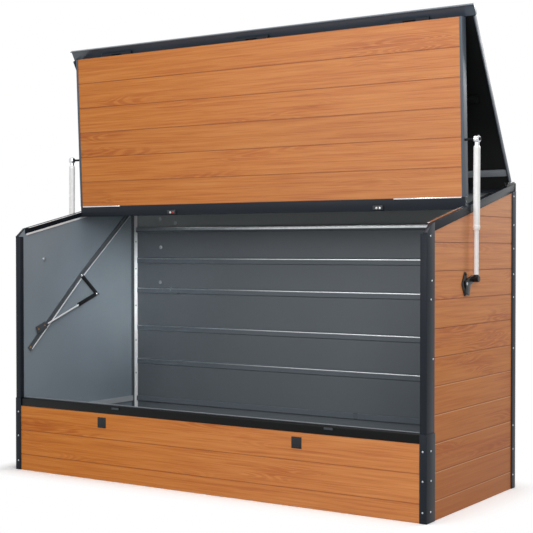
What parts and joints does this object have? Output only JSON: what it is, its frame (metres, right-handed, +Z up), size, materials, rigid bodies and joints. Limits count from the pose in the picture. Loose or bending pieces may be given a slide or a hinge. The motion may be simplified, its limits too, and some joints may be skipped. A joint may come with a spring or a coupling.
{
  "type": "bike shelter",
  "caption": "Low bike shelter with wood-look plank walls, a low front panel and a folding lid: a roof leaf hinged at the back and a front leaf hung from its eave, held up by gas struts.",
  "frame": {"origin": "on the ground, in the middle of the footprint", "axes": "+X along the front to the right, +Y from the front to the back, +Z up"},
  "size_m": [2.169, 0.858, 1.9915],
  "materials": {
    "wood_print": "satin wood-grain print on steel sheet",
    "anthracite": "satin powder coat",
    "inner_grey": "satin powder coat",
    "light_grey": "satin powder coat",
    "galvanised": "zinc coated",
    "hinge_steel": "zinc coated",
    "strut_white": "gloss enamel",
    "strut_rod": "ground steel",
    "bracket_black": "satin powder coat",
    "latch_plastic": "smooth"
  },
  "bodies": {
    "box": {"side_wall_left": "wood_print", "side_wall_right": "wood_print", "back_wall": "wood_print", "front_lower_panel": "wood_print", "sill": "anthracite", "corner_post_left": "anthracite", "corner_post_right": "anthracite", "front_jamb_left": "anthracite", "front_jamb_right": "anthracite", "rear_post_left": "anthracite", "rear_post_right": "anthracite", "slope_trim_left": "anthracite", "slope_trim_right": "anthracite", "rear_hinge_rail": "anthracite", "lock_covers": "anthracite", "base_angles": "anthracite", "back_ribs": "inner_grey", "back_ledge": "inner_grey", "side_ledges": "inner_grey", "wall_braces": "inner_grey", "back_upper_rail": "galvanised", "inner_angles": "galvanised", "stay_rods": "galvanised", "knee_levers": "galvanised", "latch_keepers": "galvanised", "rear_hinge_pins": "hinge_steel", "strut_bracket_left": "bracket_black", "strut_bracket_right": "bracket_black"},
    "roof": {"roof_sheet": "anthracite", "roof_edges": "anthracite", "roof_rear_rail": "light_grey", "roof_rails": "anthracite", "roof_hinge_leaves": "hinge_steel", "eave_cap": "anthracite", "eave_hinge_pins": "hinge_steel"},
    "front_leaf": {"front_leaf_panel": "wood_print", "front_leaf_trim_left": "anthracite", "front_leaf_trim_right": "anthracite", "front_leaf_bottom_rail": "anthracite", "front_leaf_top_rail": "anthracite", "front_leaf_posts": "anthracite", "front_leaf_knuckles": "hinge_steel", "latches": "latch_plastic"},
    "rod_left": {"strut_rod_left": "strut_rod"},
    "rod_right": {"strut_rod_right": "strut_rod"},
    "tube_left": {"strut_tube_left": "strut_white"},
    "tube_right": {"strut_tube_right": "strut_white"}
  },
  "joints": [
    {"name": "roof_hinge", "type": "hinge", "parent": "box", "child": "roof", "pos_m": [0, 0.355, 1.292], "axis": [1, 0, 0], "range_deg": [0, 73.45]},
    {"name": "front_hinge", "type": "hinge", "parent": "roof", "child": "front_leaf", "pos_m": [0, -0.0275, 1.95451], "axis": [1, 0, 0], "range_deg": [-75.96, 0]},
    {"name": "strut_swing_left", "type": "hinge", "parent": "box", "child": "rod_left", "pos_m": [-1.071, -0.02499, 0.90298], "axis": [1, 0, 0], "range_deg": [0, 124.94]},
    {"name": "strut_swing_right", "type": "hinge", "parent": "box", "child": "rod_right", "pos_m": [1.071, -0.02499, 0.90298], "axis": [1, 0, 0], "range_deg": [0, 124.94]},
    {"name": "strut_slide_left", "type": "slide", "parent": "rod_left", "child": "tube_left", "axis": [0, 0.0058, 1], "range_m": [-0.04793, 0]},
    {"name": "strut_slide_right", "type": "slide", "parent": "rod_right", "child": "tube_right", "axis": [0, 0.0058, 1], "range_m": [-0.04793, 0]}
  ],
  "couplings": [
    {"joint": "front_hinge", "follows": "roof_hinge", "ratio": -1.034},
    {"joint": "strut_swing_left", "follows": "roof_hinge", "ratio": 1.7008},
    {"joint": "strut_swing_right", "follows": "roof_hinge", "ratio": 1.7008},
    {"joint": "strut_slide_left", "follows": "roof_hinge", "m_per_rad": -0.037378},
    {"joint": "strut_slide_right", "follows": "roof_hinge", "m_per_rad": -0.037378}
  ]
}
